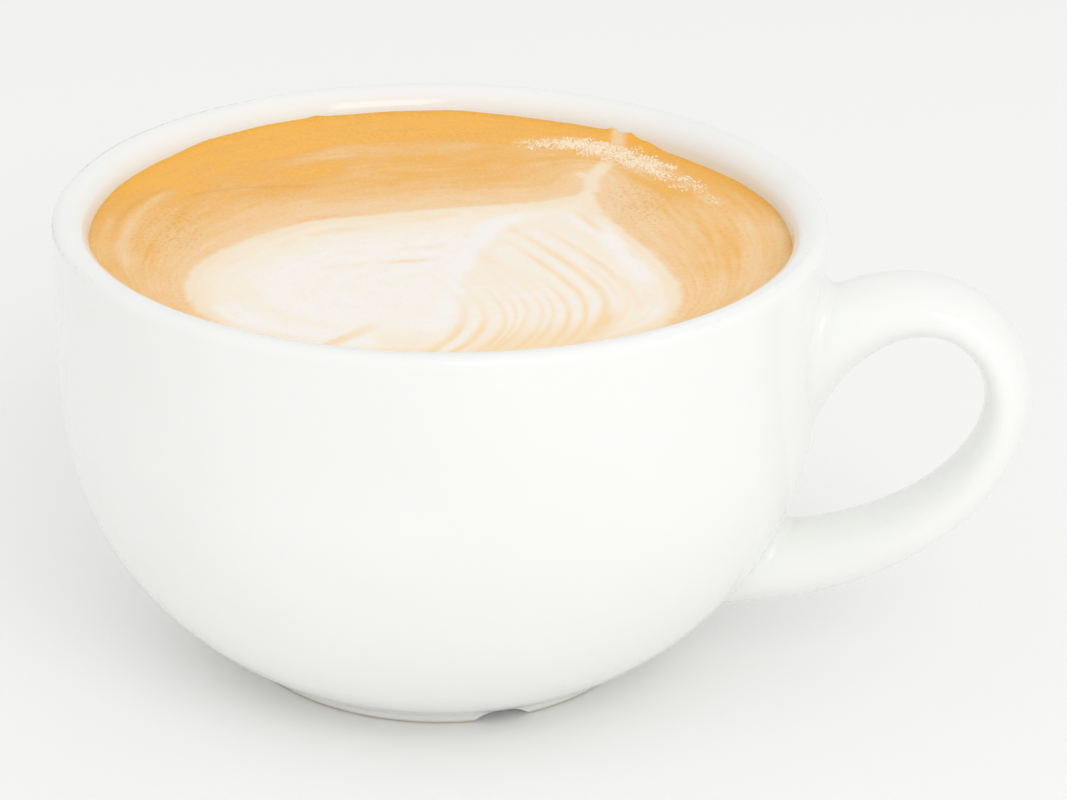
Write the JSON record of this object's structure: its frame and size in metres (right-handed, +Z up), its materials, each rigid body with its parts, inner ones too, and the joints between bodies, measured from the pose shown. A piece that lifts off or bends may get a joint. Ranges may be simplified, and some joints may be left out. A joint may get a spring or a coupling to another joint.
{
  "type": "cappuccino",
  "caption": "Cappuccino filled almost to the lip of a thick round porcelain cup with a loop handle, its milk foam poured in a rippled leaf across brown crema.",
  "frame": {"origin": "the middle of the cup's foot, on the plane that the cup stands on", "axes": "+Z up along the bowl's axis, +X from the bowl's axis through the handle, +Y to the left of the handle seen from above with the handle pointing right: away from a viewer who has the handle on the right"},
  "size_m": [0.127, 0.1, 0.0613],
  "materials": {
    "glazed_porcelain": "gloss",
    "milk_foam_and_crema": "satin"
  },
  "bodies": {
    "root": {"cup": "glazed_porcelain", "drink": "milk_foam_and_crema"}
  },
  "joints": []
}
